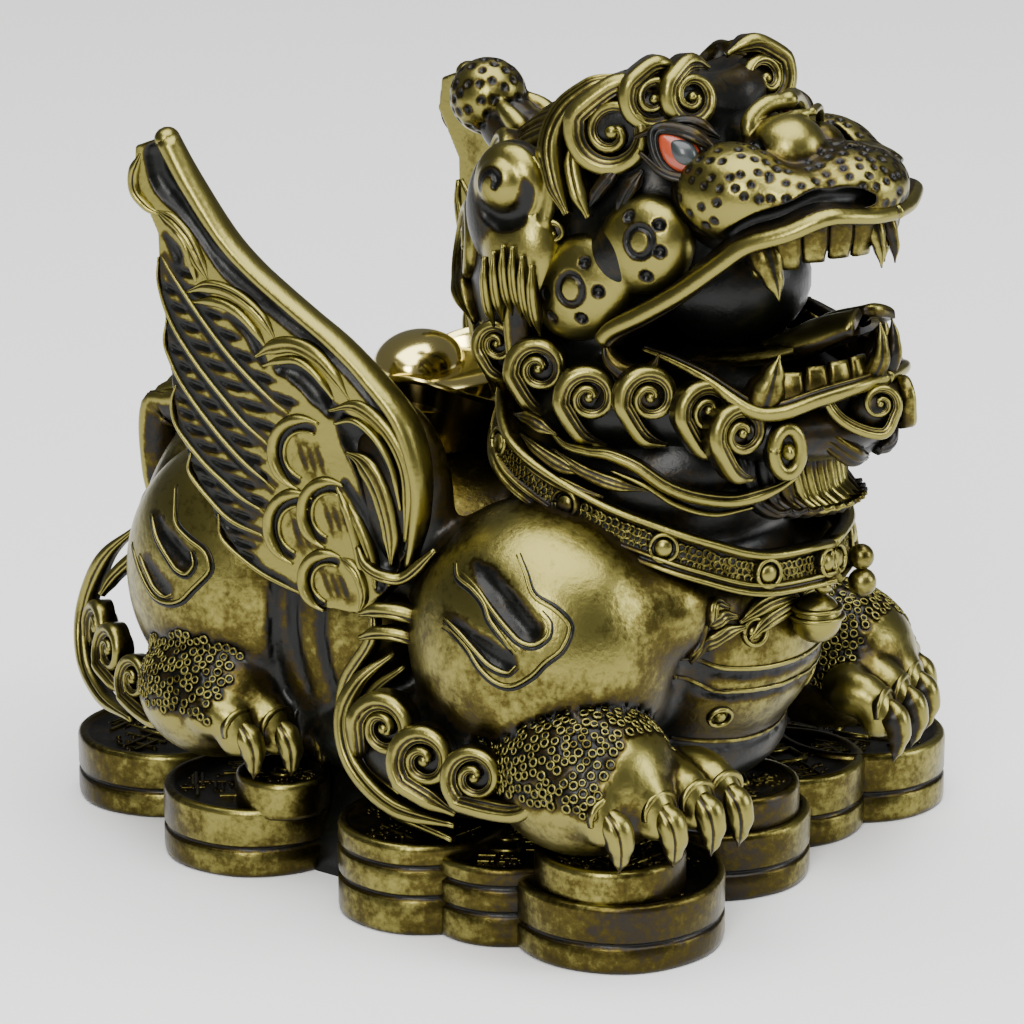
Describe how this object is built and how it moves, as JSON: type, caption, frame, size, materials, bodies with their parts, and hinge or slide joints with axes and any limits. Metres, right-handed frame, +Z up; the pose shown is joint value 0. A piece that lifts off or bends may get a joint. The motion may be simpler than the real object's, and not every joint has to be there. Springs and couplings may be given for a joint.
{
  "type": "pixiu figure",
  "caption": "Winged pixiu crouching on a heap of coins, mouth open and head raised, with a loose gold ingot seated on its back between the wings.",
  "frame": {"origin": "under the middle of the whole figure, on the underside of the coin heap", "axes": "+Z up; the beast faces -Y and its right side is towards -X"},
  "size_m": [0.0916, 0.1194, 0.1113],
  "materials": {
    "antique_brass": "cast brass darkened black in its recesses and rubbed back to dull gold on what stands out",
    "bright_gold": "polished pale gold"
  },
  "bodies": {
    "root": {"pixiu": "antique_brass", "gold_ingot": "bright_gold"}
  },
  "joints": []
}
